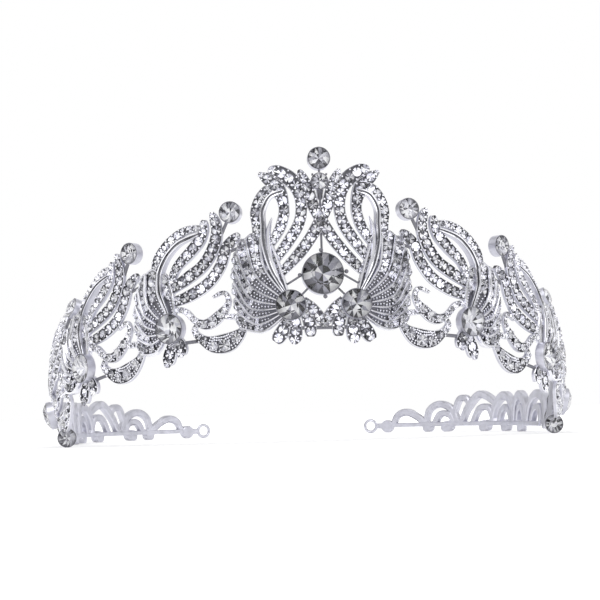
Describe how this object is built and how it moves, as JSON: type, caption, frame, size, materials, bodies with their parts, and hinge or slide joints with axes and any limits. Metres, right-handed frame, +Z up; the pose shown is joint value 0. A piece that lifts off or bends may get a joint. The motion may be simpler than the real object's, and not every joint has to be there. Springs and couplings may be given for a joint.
{
  "type": "tiara",
  "caption": "Open tiara of pierced silver-coloured scroll and fan motifs set with clear cut stones, on an arcaded back band that ends in two tie loops.",
  "frame": {"origin": "on the resting plane, under the middle of the bounding box", "axes": "+Z up, -Y the front of the tiara, +X to the right for someone who looks at its front"},
  "size_m": [0.1534, 0.1654, 0.0777],
  "materials": {
    "silver": "bright silver-coloured plate, polished edges, darkened hollows",
    "crystal": "clear cut crystal with a foiled back"
  },
  "bodies": {
    "root": {"frame": "silver", "end_loop_right": "silver", "end_loop_left": "silver", "stone_centre": "crystal", "stone_top": "crystal", "stone_second": "crystal", "stone_hub_right": "crystal", "stone_hub_left": "crystal", "stone_foot_right": "crystal", "stone_foot_left": "crystal", "stone_hub_right_1": "crystal", "stone_hub_right_2": "crystal", "stone_hub_right_3": "crystal", "stone_hub_left_1": "crystal", "stone_hub_left_2": "crystal", "stone_hub_left_3": "crystal", "stone_tip_right_1": "crystal", "stone_tip_right_2": "crystal", "stone_tip_right_3": "crystal", "stone_tip_left_1": "crystal", "stone_tip_left_2": "crystal", "stone_tip_left_3": "crystal", "pave_centre": "crystal", "pave_right_1": "crystal", "pave_right_2": "crystal", "pave_right_3": "crystal", "pave_left_1": "crystal", "pave_left_2": "crystal", "pave_left_3": "crystal"}
  },
  "joints": []
}
